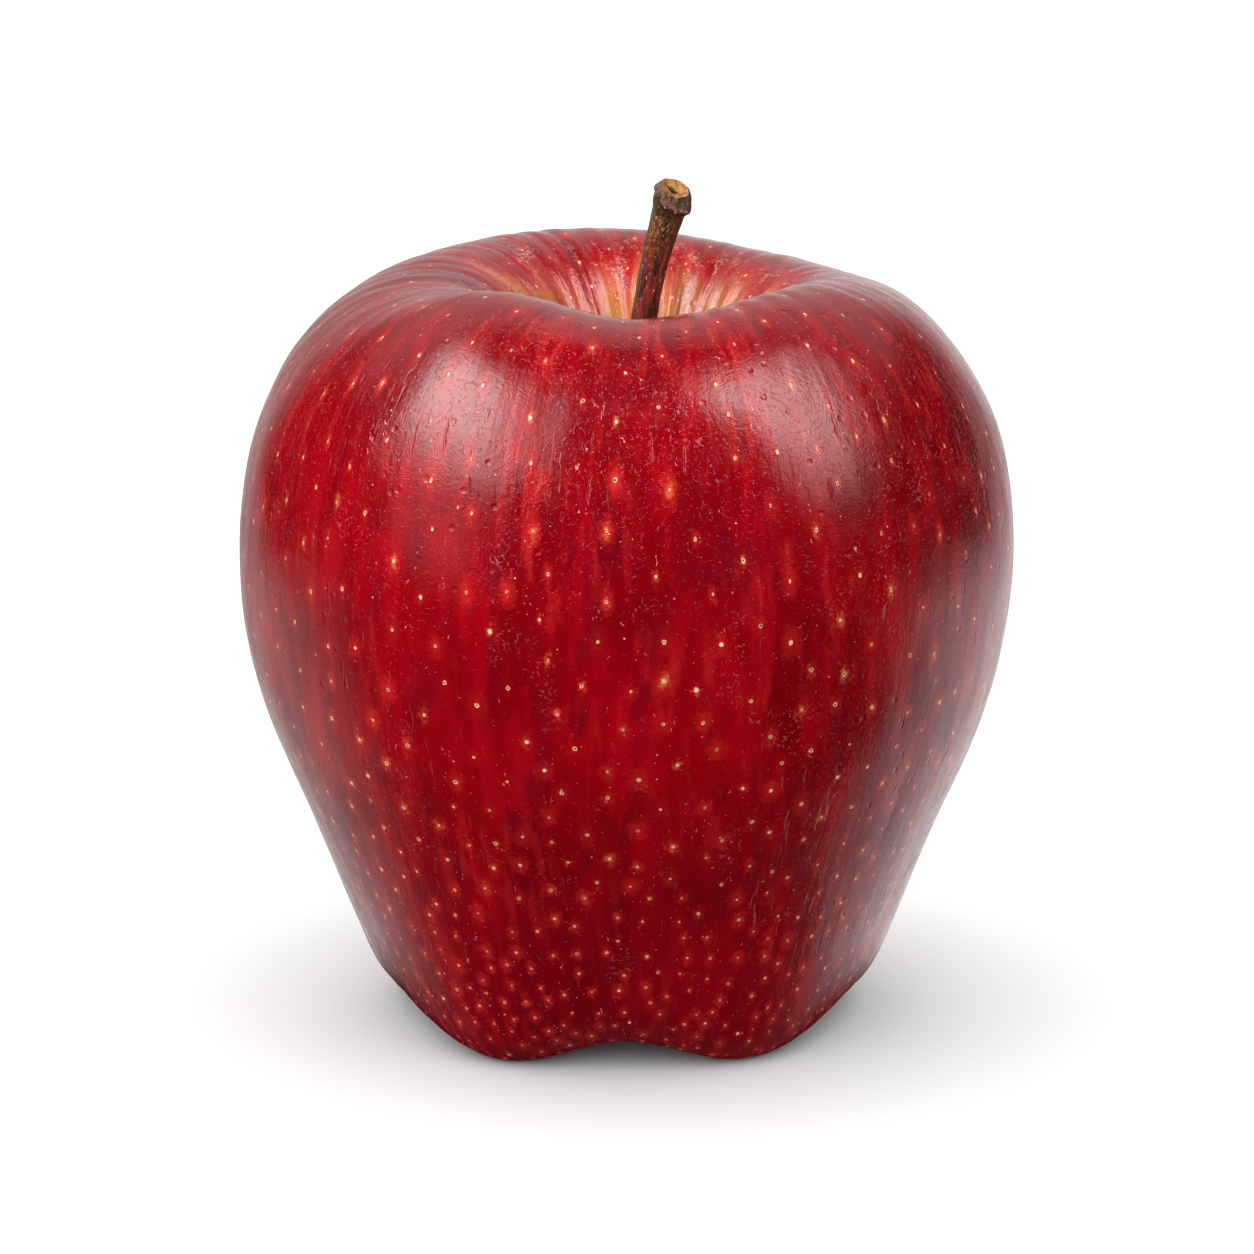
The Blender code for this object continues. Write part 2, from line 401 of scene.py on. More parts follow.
skinFinish = {
    # colours of the skin, from shaded to sun-flushed
    "shaded": (0.130, 0.0024, 0.0095),
    "deep": (0.205, 0.0003, 0.0036),
    "crimson": (0.325, 0.0006, 0.0050),
    "bright": (0.450, 0.0016, 0.0080),
    "flame": (0.520, 0.0140, 0.0145),
    "ember": (0.640, 0.0800, 0.0350),
    # the dash tone: painted glints in short dashes
    "glintDash": (0.800, 0.3400, 0.2900),
    "haloRed": (0.520, 0.0140, 0.0140),
    "haloOrange": (0.700, 0.1250, 0.0450),
    "poreCream": (0.900, 0.580, 0.340),
    "poreOlive": (0.500, 0.360, 0.150),
    "poreSalmon": (0.880, 0.370, 0.250),
    "pinHole": (0.110, 0.040, 0.015),
    # the two speck tones: pale specks, partly painted glints
    "glintSpeckWhite": (0.780, 0.460, 0.420),
    "glintSpeckPink": (0.560, 0.080, 0.200),
    # the crackle tone: painted reflection on fine wrinkles
    "crackleSheen": (0.560, 0.110, 0.110),
    # stem cavity and calyx basin
    "cavityRed": (0.400, 0.0080, 0.0120),
    "cavityRose": (0.520, 0.0700, 0.0520),
    "cavityPeach": (0.560, 0.1450, 0.0400),
    "cavityGold": (0.430, 0.1700, 0.0220),
    "cavityOlive": (0.300, 0.1700, 0.0280),
    "cavityPale": (0.740, 0.3000, 0.2300),
    "basinRusset": (0.200, 0.0900, 0.0300),
    "roughness": 0.15,
    "specular": 0.42,
}


def skinMaterial():
    n = Nodes.material("appleSkin")
    look = skinFinish
    place = n.objectMm()
    grain = n.attribute("grain")
    station = n.attribute("station", "Fac")
    upper = n.ease(station, 10.0, 6.5)       # shoulder and upper flank
    lower = n.ease(station, 9.5, 12.0)
    shoulder = n.ease(station, 8.0, 5.5)
    fine = n.noise(place, 0.5, 4.0, 0.7)
    flecked = n.noise(n.shift(place, (5.0, 2.0, 9.0)), 0.30, 3.0, 0.7)

    def streaks(width, length, shift, detail=2.0, fray=0.0):
        # noise that runs from stem to base: blotches of this width and length in millimetres
        along = n.vector("MULTIPLY", grain, (1.0, 1.0, width / length))
        value = n.noise(n.shift(along, (shift, 2.0 * shift, 0.0)), width, detail, 0.5, 0.3)
        if fray:
            value = n.calc("ADD", value, n.calc("MULTIPLY", n.calc("SUBTRACT", fine, 0.5), fray))
        return value

    def both(a, b):
        return n.calc("MULTIPLY", a, b)

    # ground colour: shaded and flushed patches, clouds, bands and flames down the flank
    patches = n.noise(place, 22.0, 2.0, 0.5)
    color = n.mix(n.ease(patches, 0.36, 0.60), look["deep"], look["crimson"])
    # the shoulder darker: partly its deeper red, partly painted shade
    color = n.mix(n.ease(shoulder, 0.0, 1.0, 0.0, 0.55), color, look["deep"])
    color = n.mix(n.ease(lower, 0.0, 1.0, 0.0, 0.35), color, look["shaded"])
    bands = streaks(3.0, 13.0, 3.0, 3.0, 0.22)
    color = n.mix(both(n.ease(bands, 0.44, 0.68, 0.0, 0.65), n.ease(lower, 0.0, 1.0, 1.0, 0.55)), color, look["bright"])
    clouds = streaks(4.2, 9.0, 31.0, 3.0, 0.20)
    color = n.mix(n.ease(clouds, 0.50, 0.70, 0.0, 0.55), color, look["shaded"])
    where = n.noise(n.shift(place, (50.0, 9.0, 4.0)), 11.0, 2.0, 0.5)
    flames = both(n.ease(streaks(1.5, 7.5, 17.0, 3.0, 0.34), 0.50, 0.68), n.ease(where, 0.38, 0.62))
    flames = both(flames, n.ease(flecked, 0.28, 0.60, 0.25, 1.0))
    color = n.mix(both(flames, n.ease(upper, 0.0, 1.0, 0.55, 0.95)), color, look["flame"])
    embers = both(flames, n.ease(streaks(0.8, 3.0, 29.0, 3.0, 0.40), 0.56, 0.68))
    color = n.mix(both(embers, n.ease(upper, 0.0, 1.0, 0.10, 0.50)), color, look["ember"])
    licks = both(n.ease(streaks(1.0, 6.0, 47.0, 3.0, 0.40), 0.52, 0.62), upper)
    color = n.mix(both(licks, n.ease(where, 0.62, 0.46, 0.0, 0.75)), color, look["deep"])
    color = n.mix(n.ease(fine, 0.30, 0.75, 0.0, 0.35), color, look["deep"])

    # stem cavity: red at the rim, then rose, peach, gold and olive, in rays that
    # narrow towards the stem
    rays = n.calc("SUBTRACT", streaks(17.0, 60.0, 41.0, 2.0), 0.5)
    fineRays = n.calc("SUBTRACT", streaks(6.5, 11.0, 23.0, 3.0, 0.40), 0.5)
    down = n.calc("MULTIPLY_ADD", rays, 3.2, n.calc("MULTIPLY_ADD", fineRays, 1.2, station))
    color = n.mix(n.ease(down, 4.5, 4.0, 0.0, 0.85), color, look["cavityRed"])
    color = n.mix(n.ease(down, 4.1, 3.5, 0.0, 0.80), color, look["cavityRose"])
    color = n.mix(n.ease(down, 3.9, 3.2, 0.0, 0.95), color, look["cavityPeach"])
    color = n.mix(n.ease(down, 3.5, 2.8), color, look["cavityGold"])
    side = n.add("SeparateXYZ", {0: place}).outputs["X"]
    olive = both(n.ease(down, 3.6, 2.6, 0.0, 0.75), n.ease(side, 3.0, -7.0))
    color = n.mix(olive, color, look["cavityOlive"])
    darkRays = both(n.ease(streaks(7.0, 16.0, 83.0, 3.0, 0.20), 0.52, 0.66), n.ease(station, 5.0, 4.0, 0.0, 0.45))
    color = n.mix(darkRays, color, look["deep"])
    paleRays = both(n.ease(streaks(4.2, 4.5, 91.0, 3.0, 0.60), 0.55, 0.70), n.ease(flecked, 0.40, 0.62))
    paleRays = both(paleRays, both(n.ease(station, 4.9, 4.3), n.ease(station, 2.4, 3.2, 0.0, 0.8)))
    color = n.mix(paleRays, color, look["cavityPale"])
    color = n.mix(n.ease(station, 15.6, 17.2, 0.0, 0.8), color, look["basinRusset"])

    # pores: every one is drawn from its own centre, longer up and down than across
    away = n.vector("SUBTRACT", place, n.attribute("poreAt"))
    form = n.add("SeparateXYZ", {0: n.attribute("poreForm")}).outputs
    tint = n.add("SeparateXYZ", {0: n.attribute("poreTint")}).outputs
    flat = n.vector("MULTIPLY", place, (1.0, 1.0, 0.0))
    sideways = n.vector("NORMALIZE", n.vector("CROSS_PRODUCT", flat, (0.0, 0.0, 1.0)))
    across = n.vector("DOT_PRODUCT", away, sideways)
    acrossTwice = both(across, across)
    gap = n.vector("LENGTH", away)
    gapTwice = both(gap, gap)
    drawnOut = n.calc("MAXIMUM", upper, n.calc("MULTIPLY", lower, 0.3))
    drawn = n.calc("SQRT", n.calc("MULTIPLY_ADD", acrossTwice, n.ease(drawnOut, 0.0, 1.0, 0.8, 4.0), gapTwice))
    frayed = n.calc("MULTIPLY", n.calc("SUBTRACT", fine, 0.5), 3.0)
    haloAt = n.calc("DIVIDE", n.calc("ADD", drawn, frayed), form[1])
    strength = n.calc("MAXIMUM", n.ease(tint[2], 0.0, 1.0, 0.08, 0.85), n.calc("MULTIPLY", lower, 0.80))
    halo = both(n.ease(haloAt, 1.2, 0.1), strength)
    color = n.mix(halo, color, look["haloRed"])
    glow = both(n.ease(haloAt, 0.55, 0.0), n.ease(form[2], 0.35, 1.0, 0.0, 0.85))
    glow = both(glow, n.ease(lower, 0.0, 1.0, 1.0, 0.3))
    color = n.mix(glow, color, look["haloOrange"])
    long = n.ease(drawnOut, 0.0, 1.0, 0.0, 1.4)
    rim = n.calc("DIVIDE", n.calc("SQRT", n.calc("MULTIPLY_ADD", acrossTwice, long, gapTwice)), form[0])
    wobble = n.calc("SUBTRACT", n.noise(place, 0.20, 2.0), 0.5)
    frayedRim = n.calc("MULTIPLY_ADD", wobble, 1.1, rim)
    midway = n.calc("SUBTRACT", n.calc("SUBTRACT", 1.0, upper), lower, clamp=True)
    ring = n.mix(both(n.ease(tint[1], 0.55, 0.9), midway), look["poreCream"], look["poreOlive"])
    ring = n.mix(both(n.ease(tint[1], 0.95, 0.45), lower), ring, look["poreSalmon"])
    color = n.mix(n.ease(frayedRim, 1.5, 0.7, 0.0, 0.5), color, look["haloOrange"])
    dot = both(n.ease(frayedRim, 1.15, 0.75), n.ease(form[2], 0.0, 0.3, 0.6, 1.0))
    color = n.mix(dot, color, ring)
    hole = both(n.ease(frayedRim, 0.55, 0.34), tint[0])
    color = n.mix(hole, color, look["pinHole"])

    # tiny pale specks, partly painted glints, and short dashes that are painted glints
    def specksAndGlints(at, cell, radius, strength, tone):
        made = n.add("TexVoronoi", {"Vector": at, "Scale": 1.0 / cell, "Randomness": 1.0})
        kind = n.add("SeparateColor", {0: made.outputs["Color"]}).outputs
        inside = n.calc("MULTIPLY", made.outputs["Distance"], cell / radius)
        amount = both(n.ease(inside, 1.1, 0.6), n.ease(kind[0], 0.2, 0.9, 0.0, strength))
        return n.mix(amount, color, n.mix(n.ease(kind[1], 0.3, 0.8), tone, look["glintSpeckPink"]))

    color = specksAndGlints(place, 1.5, 0.105, 0.9, look["glintSpeckWhite"])
    color = specksAndGlints(n.shift(place, (11.0, 5.0, 3.0)), 0.80, 0.070, n.ease(where, 0.35, 0.65, 0.35, 0.9), look["glintDash"])
    wander = n.vector("SCALE", n.add("TexNoise", {"Vector": place, "Scale": 0.7}).outputs["Color"], scale=2.2)
    # painted glints in short dashes, drawn out along the skin
    swept = n.vector("ADD", n.vector("MULTIPLY", grain, (1.0, 1.0, 0.28)), wander)
    color = specksAndGlints(n.shift(swept, (3.0, 8.0, 1.0)), 0.80, 0.085, n.ease(upper, 0.0, 1.0, 0.5, 0.95), look["glintDash"])
    color = specksAndGlints(n.shift(swept, (9.0, 1.0, 6.0)), 0.70, 0.068, n.calc("MAXIMUM", upper, lower), look["glintDash"])

    # pale crackle in a few places: painted reflection on fine wrinkles, which the relief below also carves
    broken = n.ease(n.noise(n.shift(place, (1.0, 8.0, 2.0)), 0.42, 2.0), 0.50, 0.60)
    lines = n.add("TexVoronoi", {"Vector": n.vector("ADD", place, wander), "Scale": 1.5}, feature="DISTANCE_TO_EDGE")
    crackleSheen = both(n.ease(lines.outputs["Distance"], 0.075, 0.025), broken)
    crackleWhere = n.ease(n.noise(n.shift(place, (20.0, 33.0, 6.0)), 5.5, 3.0), 0.56, 0.68, 0.0, 0.55)
    color = n.mix(both(crackleSheen, crackleWhere), color, look["crackleSheen"])

    # relief in millimetres: orange peel, contour wrinkles, slits and ribs along the skin, pores
    peel = n.calc("MULTIPLY", n.noise(place, 0.60, 4.0, 0.75), 0.022)
    contours = n.calc("SINE", n.calc("MULTIPLY", n.noise(place, 3.2, 3.0, 0.45, 0.6), 62.0))
    wrinkles = n.calc("MULTIPLY", contours, n.ease(where, 0.35, 0.65, 0.0008, 0.0038))
    slits = both(n.ease(streaks(0.75, 5.0, 61.0, 2.0), 0.67, 0.75), n.ease(shoulder, 1.0, 0.0, 0.0, -0.060))
    ribs = both(streaks(1.2, 12.0, 71.0, 3.0), n.ease(station, 7.5, 5.5, 0.040, 0.022))
    rimRibs = both(streaks(5.0, 16.0, 77.0, 3.0), n.ease(station, 5.8, 4.4, 0.0, 0.26))
    ribs = n.calc("ADD", ribs, rimRibs)
    dents = n.add("TexVoronoi", {"Vector": n.shift(place, (2.0, 6.0, 4.0)), "Scale": 0.40}).outputs["Distance"]
    dents = n.calc("MULTIPLY", n.ease(dents, 0.17, 0.05), -0.045)
    raised = n.calc("MULTIPLY", n.ease(rim, 1.9, 0.8), 0.022)
    sunk = n.calc("MULTIPLY", hole, -0.05)
    folds = n.calc("MULTIPLY_ADD", crackleSheen, 0.012, dents)
    height = n.calc("ADD", n.calc("ADD", peel, wrinkles), n.calc("ADD", slits, ribs))
    height = n.calc("ADD", height, n.calc("ADD", folds, n.calc("ADD", raised, sunk)))
    rough = n.ease(n.noise(place, 2.2, 4.0, 0.6), 0.3, 0.7, look["roughness"] - 0.03, look["roughness"] + 0.07)
    return n.finish(
        Base_Color=color, Roughness=rough, Normal=n.bump(height),
        Specular_IOR_Level=look["specular"], IOR=1.5)


# ---- stem ----

stemForm = {
    "foot": (1.5, 0.0, 59.5),
    "bend": (0.3, 0.0, 73.0),
    "top": (5.0, -0.8, 86.0),
    "radii": (1.40, 1.32, 1.30, 1.32, 1.36, 1.60, 1.95),   # foot to top
    "sides": 72,
    "rings": 190,
    "cutSlant": 25.0,        # degrees that the cut end leans to the front
    "cutTurn": -86.0,        # direction it leans to: -90 is the front
    "furrow": 0.13,          # depth of the furrows in the bark
    "knobs": (               # turn in degrees, height along the stem, size, reach
        (-172.0, 0.985, 0.36, 0.46), (-30.0, 0.950, 0.42, 0.66), (-118.0, 0.955, 0.26, 0.26),
        (-75.0, 0.935, 0.20, 0.22), (60.0, 0.950, 0.35, 0.30), (140.0, 0.940, 0.22, 0.25),
    ),
}


def makeStem():
    form = stemForm
    deselectAll()
    bpy.ops.mesh.primitive_cylinder_add(
        vertices=form["sides"], radius=1.0, depth=1.0, end_fill_type="NGON", location=(0, 0, 0.5))
    bpy.ops.object.transform_apply(location=True, rotation=True, scale=True)
    stem = bpy.context.active_object
    stem.name = "stemBark"
    pickOnly(stem)
    bpy.ops.object.mode_set(mode="EDIT")
    bpy.ops.mesh.select_mode(type="EDGE")
    bpy.ops.mesh.select_all(action="DESELECT")
    work = bmesh.from_edit_mesh(stem.data)
    for edge in work.edges:
        edge.select_set(abs(edge.verts[0].co.z - edge.verts[1].co.z) > 0.5)
    bmesh.update_edit_mesh(stem.data)
    bpy.ops.mesh.subdivide(number_cuts=form["rings"])
    # the cut end and the foot: rings inwards, then a point
    for level in (1.0, 0.0):
        selectFaces(stem, lambda face: len(face.verts) > 4 and abs(face.calc_center_median().z - level) < 1e-4)
        for step in (0.06, 0.07, 0.08, 0.1, 0.1, 0.12, 0.12, 0.12, 0.1):
            bpy.ops.mesh.inset(thickness=step, depth=0.0)
        bpy.ops.mesh.poke()
    bpy.ops.object.mode_set(mode="OBJECT")

    raw = vertexPlaces(stem)
    t = raw[:, 2]
    share = np.minimum(np.hypot(raw[:, 0], raw[:, 1]), 1.0)
    turn = np.arctan2(raw[:, 1], raw[:, 0])
    onEnd = ((t > 0.9999) & (share < 0.999)).astype(float)
    foot, bend, top = (np.array(form[k]) for k in ("foot", "bend", "top"))
    line = foot * ((1 - t) ** 2)[:, None] + bend * (2 * t * (1 - t))[:, None] + top * (t**2)[:, None]
    aim = 2 * (bend - foot) * (1 - t)[:, None] + 2 * (top - bend) * t[:, None]
    aim /= np.linalg.norm(aim, axis=1)[:, None]
    right = np.cross(np.array([0.0, 1.0, 0.0]), aim)
    right /= np.linalg.norm(right, axis=1)[:, None]
    back = np.cross(aim, right)
    length = float(np.linalg.norm(top - foot))
    radius = alongSpline(form["radii"], t * (len(form["radii"]) - 1))

    bark = np.stack([1.6 * np.cos(turn), 1.6 * np.sin(turn), t * length], axis=1)
    furrows = noiseOf(bark * (1.5, 1.5, 0.16), 4.0) + 0.6 * noiseOf(bark * (3.4, 3.4, 0.4), 5.0)
    lumps = noiseOf(bark * (0.9, 0.9, 0.5), 6.0)
    radius = radius + form["furrow"] * furrows + 0.09 * lumps
    radius = radius * (1.0 - 0.05 * ramp(0.0, 0.1, t))
    for knobTurn, knobHeight, size, reach in form["knobs"]:
        away = (turn - math.radians(knobTurn) + math.pi) % tau - math.pi
        spread = (away / (0.55 + 0.35 * size)) ** 2 + ((t - knobHeight) * length / (1.6 * size)) ** 2
        radius = radius + reach * np.exp(-spread)
    crusty = noiseOf(bark * (1.6, 1.6, 1.3), 9.0) + 0.5 * noiseOf(bark * (3.6, 3.6, 3.0), 10.0)
    radius = radius + 0.20 * crusty * ramp(0.90, 0.95, t)
    # the bark stops a little short of the cut, which is narrower than the knobs
    radius = radius - 0.50 * ramp(0.968, 1.0, t)

    # slanted cut with a rounded lip, a hollow and a deep pit behind the middle
    slant = math.tan(math.radians(form["cutSlant"]))
    lean = math.radians(form["cutTurn"])
    toward = np.cos(turn - lean) * share * radius
    rise = -slant * toward * ramp(0.88, 1.0, t)
    x, y = share * np.cos(turn), share * np.sin(turn)
    pit = np.exp(-(((x + 0.16) / 0.50) ** 2 + ((y - 0.36) / 0.26) ** 2) ** 2)
    dish = 0.62 * (1.0 - share**2) ** 0.8
    crumbs = 0.16 * noiseOf(np.stack([x * 3.2, y * 3.2, 0 * x], axis=1), 8.0)
    rise = rise + onEnd * (crumbs * (1.0 - share**4) - dish - 0.75 * pit)
    places = line + aim * rise[:, None]
    places += right * (share * radius * np.cos(turn))[:, None]
    places += back * (share * radius * np.sin(turn))[:, None]
    putVertices(stem, places * mm)
    storeValues(stem, "bark", bark)
    storeValues(stem, "height", t)
    storeValues(stem, "cut", onEnd * np.clip((1.0 - share) * 8.0 + 0.4, 0.0, 1.0))
    storeValues(stem, "pit", onEnd * pit)
    applyModifier(stem, "SUBSURF", levels=1, render_levels=1)
    smoothShade(stem)
    print("stem:", len(stem.data.polygons), "faces")
    return stem


stemFinish = {
    "maroon": ((0.022, 0.003, 0.002), (0.260, 0.026, 0.016)),    # furrows and ridges low down
    "umber": ((0.014, 0.006, 0.002), (0.105, 0.042, 0.015)),
    "head": ((0.020, 0.006, 0.003), (0.210, 0.080, 0.032)),     # and near the top
    "golden": (0.440, 0.190, 0.036),
    # pale flecks, partly painted glints
    "fleckGlint": (0.540, 0.360, 0.280),
    # painted light, grey-green, along the left edge of the stem
    "leftEdgeLight": (0.150, 0.115, 0.075),     # grey-green edge on the left
    "wood": ((0.260, 0.080, 0.014), (0.640, 0.320, 0.095)),
    "lip": (0.450, 0.160, 0.030),
    "pit": (0.014, 0.007, 0.002),
}


def stemMaterial():
    n = Nodes.material("stemBark")
    look = stemFinish
    place = n.objectMm()
    bark = n.attribute("bark")
    height = n.attribute("height", "Fac")
    cut = n.attribute("cut", "Fac")
    pit = n.attribute("pit", "Fac")
    around = n.add("SeparateXYZ", {0: bark}).outputs["X"]

    def barkNoise(size, stretch, detail, rough=0.6, distort=0.0):
        return n.noise(n.vector("MULTIPLY", bark, (1.0, 1.0, stretch)), size, detail, rough, distort)

    grooves = barkNoise(0.75, 0.20, 5.0, 0.62, 0.4)
    wrinkles = barkNoise(0.38, 0.14, 4.0, 0.62, 0.5)
    blotch = n.noise(bark, 2.2, 3.0, 0.6)
    both = n.calc("MULTIPLY", n.ease(grooves, 0.36, 0.62), n.ease(wrinkles, 0.30, 0.60, 0.35, 1.0))
    maroon = n.mix(both, *look["maroon"])
    umber = n.mix(both, *look["umber"])
    toTop = n.calc("ADD", height, n.calc("MULTIPLY", n.calc("SUBTRACT", blotch, 0.5), 0.30))
    color = n.mix(n.ease(toTop, 0.70, 0.88), maroon, umber)
    crust = n.noise(place, 0.55, 4.0, 0.7)
    color = n.mix(n.ease(height, 0.91, 0.95), color, n.mix(n.ease(crust, 0.42, 0.68), *look["head"]))
    # golden grain part way up, pale flecks low down that are partly painted glints, and painted light in grey-green
    # along the left edge
    gold = barkNoise(0.26, 0.6, 3.0, 0.65, 0.5)
    zone = n.calc("MULTIPLY", n.ease(height, 0.70, 0.82), n.ease(height, 0.95, 0.86))
    zone = n.calc("MULTIPLY", zone, n.ease(around, 1.3, 0.0))
    color = n.mix(n.calc("MULTIPLY", n.ease(gold, 0.50, 0.66, 0.0, 0.85), zone), color, look["golden"])
    # painted light: a pale grey-green strip down the left edge
    left = n.calc("ADD", around, n.calc("MULTIPLY", n.calc("SUBTRACT", grooves, 0.5), 2.0))
    edge = n.calc("MULTIPLY", n.ease(left, -1.15, -1.65, 0.0, 0.8), n.ease(height, 0.45, 0.62))
    color = n.mix(edge, color, look["leftEdgeLight"])
    # pale flecks drawn out along the bark: partly painted glints
    fleckGlint = barkNoise(0.20, 0.35, 2.0, 0.5)
    color = n.mix(n.ease(fleckGlint, 0.63, 0.72, 0.0, 0.80), color, look["fleckGlint"])
    # cut end: tan wood, orange at the lip, nearly black pit
    wood = n.noise(place, 0.40, 4.0, 0.7)
    tan = n.mix(n.ease(wood, 0.35, 0.62), *look["wood"])
    tan = n.mix(n.ease(cut, 0.95, 0.6), tan, look["lip"])
    color = n.mix(n.ease(cut, 0.15, 0.5), color, tan)
    color = n.mix(n.ease(pit, 0.25, 0.7), color, look["pit"])
    fine = n.calc("MULTIPLY", barkNoise(0.22, 0.5, 4.0, 0.65), 0.07)
    ridges = n.calc("MULTIPLY_ADD", wrinkles, 0.22, n.calc("MULTIPLY", grooves, 0.24))
    crumb = n.calc("MULTIPLY", n.calc("MULTIPLY", wood, cut), 0.16)
    crumb = n.calc("MULTIPLY_ADD", crust, n.ease(height, 0.90, 0.96, 0.0, 0.30), crumb)
    relief = n.calc("ADD", n.calc("ADD", fine, ridges), crumb)
    return n.finish(
        Base_Color=color, Normal=n.bump(relief),
        Roughness=n.ease(wrinkles, 0.3, 0.7, 0.62, 0.40), Specular_IOR_Level=0.35)


# ---- calyx ----

sepalForm = {
    "length": 7.0,
    "width": 3.4,
    "thickness": 0.32,
    "rootRadius": 3.3,
    "rootHeight": 9.1,
    "splay": 50.0,
    "curl": 95.0,
    "across": 10,
    "along": 26,
    # one for each leaf: more splay, more curl, twist, longer
    "habit": ((0, 0, 4, 1.0), (5, 12, -8, 0.93), (-6, -8, 6, 0.96), (3, 18, 10, 0.9), (-3, -12, -5, 1.0)),
}


def makeSepal(number):
    form = sepalForm
    moreSplay, moreCurl, twist, stretch = form["habit"][number]
    deselectAll()
    bpy.ops.mesh.primitive_grid_add(
        x_subdivisions=form["across"], y_subdivisions=form["along"], size=1.0, location=(0, 0, 0))
    sepal = bpy.context.active_object
    sepal.name = f"sepalLeaf{number + 1}"
    raw = vertexPlaces(sepal)
    side, t = raw[:, 0] * 2.0, raw[:, 1] + 0.5
    start = math.radians(form["splay"] + moreSplay)
    lean = start - math.radians(form["curl"] + moreCurl) * t
    bow = form["length"] * stretch * np.where(t > 0, t, 1.0) / np.where(t > 0, start - lean, 1.0)
    bow = np.where(t > 0, bow, 0.0)
    out = form["rootRadius"] + bow * (np.cos(lean) - math.cos(start))
    down = bow * (math.sin(start) - np.sin(lean))
    ragged = 1.0 + 0.10 * noiseOf(np.stack([side, t * 9.0, 0 * t + number], axis=1), 3.0)
    width = form["width"] * (1.0 - 0.86 * t**1.3) * ragged
    trough = 0.3 * side**2 - 0.12 * np.abs(side) * np.sin(t * 14.0)
    crumple = 0.22 * noiseOf(np.stack([side * 1.4, t * 5.0, 0 * t + number], axis=1), 7.0) * ramp(0.1, 0.5, t)
    roll = math.radians(twist) * t
    x = side * width / 2.0 * np.cos(roll)
    y = -(out - trough - crumple)
    z = form["rootHeight"] - down + side * width / 2.0 * np.sin(roll)
    turn = math.radians(fruitForm["firstFoot"]) + number * tau / 5.0
    turned = np.stack([x * math.cos(turn) - y * math.sin(turn), x * math.sin(turn) + y * math.cos(turn), z], axis=1)
    putVertices(sepal, turned * mm)
    storeValues(sepal, "leaf", np.stack([side, t * 4.0, 0 * t], axis=1))
    applyModifier(sepal, "SOLIDIFY", thickness=form["thickness"] * mm, offset=0.0)
    applyModifier(sepal, "SUBSURF", levels=1, render_levels=1)
    smoothShade(sepal)
    return sepal


tuftForm = {
    "threads": 19,
    "root": 8.95,
    "reach": 1.15,
    "length": (2.6, 3.7),
    "thickness": 0.13,
    "seed": 5,
}


def makeTuft():
    form = tuftForm
    dice = np.random.default_rng(form["seed"])
    deselectAll()
    bpy.ops.mesh.primitive_uv_sphere_add(segments=24, ring_count=12, radius=1.45 * mm, location=(0, 0, 0))
    cushion = bpy.context.active_object
    cushion.name = "stamenTuft"
    places = vertexPlaces(cushion) * (1.0, 1.0, 0.28) + np.array([0, 0, 9.0 * mm])
    putVertices(cushion, places)
    # one thread with its dried head, shaped once and copied
    bpy.ops.mesh.primitive_cone_add(
        vertices=7, radius1=form["thickness"] * mm, radius2=0.45 * form["thickness"] * mm, depth=1.0 * mm,
        location=(0, 0, 0))
    # one thread, a thin tapered cone, shaped once and copied
    thread = bpy.context.active_object
    pickOnly(thread)
    bpy.ops.object.mode_set(mode="EDIT")
    bpy.ops.mesh.select_all(action="SELECT")
    bpy.ops.mesh.subdivide(number_cuts=5)
    bpy.ops.object.mode_set(mode="OBJECT")
    shape = vertexPlaces(thread)
    shape = shape[:, :] * (1.0, 1.0, 1.0)
    copies = []
    for k in range(form["threads"]):
        copy = thread.copy()
        copy.data = thread.data.copy()
        bpy.context.scene.collection.objects.link(copy)
        turn = k * 2.399963
        spread = form["reach"] * math.sqrt((k + 0.5) / form["threads"])
        length = dice.uniform(*form["length"])
        hang = 0.5 - shape[:, 2] / mm          # 0 at the root, 1 at the tip
        hang = 1.0 - hang
        lean = dice.uniform(0.15, 0.75)
        sway = dice.uniform(-0.5, 0.5)
        out = spread + lean * hang**2
        angle = turn + sway * hang
        moved = np.stack([
            shape[:, 0] / mm + out * np.cos(angle),
            shape[:, 1] / mm + out * np.sin(angle),
            form["root"] - hang * length,
        ], axis=1)
        putVertices(copy, moved * mm)
        copies.append(copy)
    bpy.data.objects.remove(thread)
    pickOnly(cushion)
    for copy in copies:
        copy.select_set(True)
    bpy.ops.object.join()
    pickOnly(cushion)
    bpy.ops.object.mode_set(mode="EDIT")
    bpy.ops.mesh.select_all(action="SELECT")
    bpy.ops.mesh.normals_make_consistent(inside=False)
    bpy.ops.object.mode_set(mode="OBJECT")
    smoothShade(cushion, 50.0)
    return cushion


def calyxMaterial(name, dark, light, size):
    n = Nodes.material(name)
    place = n.objectMm()
    blotch = n.noise(place, size, 4.0, 0.6, 0.4)
    color = n.mix(n.ease(blotch, 0.35, 0.65), dark, light)
    hairs = n.noise(n.vector("MULTIPLY", place, (1.0, 1.0, 0.35)), 0.16, 3.0, 0.6)
    color = n.mix(n.ease(hairs, 0.6, 0.75, 0.0, 0.6), color, (0.34, 0.25, 0.14))
    relief = n.calc("ADD", n.calc("MULTIPLY", blotch, 0.12), n.calc("MULTIPLY", hairs, 0.08))
    return n.finish(Base_Color=color, Normal=n.bump(relief), Roughness=0.85, Specular_IOR_Level=0.3)


def dress(piece, material, node):
    piece.data.materials.clear()
    piece.data.materials.append(material)
    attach(piece, "root")
    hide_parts(node)


# ---- stage ----

